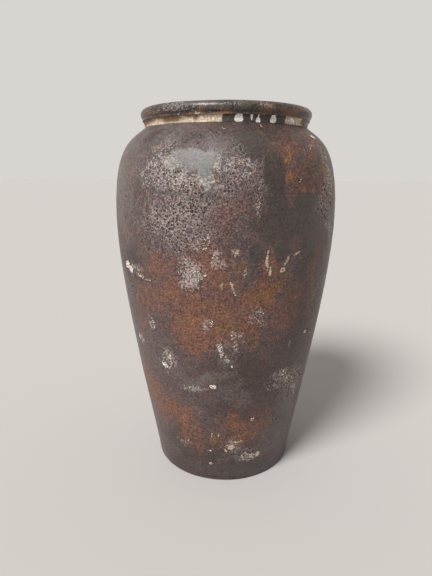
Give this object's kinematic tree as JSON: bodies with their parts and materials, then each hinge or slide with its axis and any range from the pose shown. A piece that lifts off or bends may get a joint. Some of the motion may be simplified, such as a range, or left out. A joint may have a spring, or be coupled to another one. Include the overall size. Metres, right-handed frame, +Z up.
{
  "type": "storage jar",
  "caption": "Tall round-shouldered clay storage jar with a rolled lip, a narrow foot and a pitted dark surface.",
  "frame": {"origin": "middle of the foot, on the surface that the jar stands on", "axes": "+Z up along the axis that the jar is turned about; -Y towards the side with the bare clay marks in front"},
  "size_m": [0.211, 0.211, 0.35],
  "materials": {
    "dark_glaze": "satin",
    "buff_clay": "matte",
    "slab_clay": "matte",
    "lime_crust": "matte"
  },
  "bodies": {
    "root": {"base_disc": "slab_clay", "foot_course": "dark_glaze", "lower_course": "dark_glaze", "middle_course": "dark_glaze", "belly_course": "dark_glaze", "shoulder_course": "dark_glaze", "upper_shoulder_course": "dark_glaze", "neck_collar": "buff_clay", "rolled_lip": "dark_glaze"}
  },
  "joints": []
}
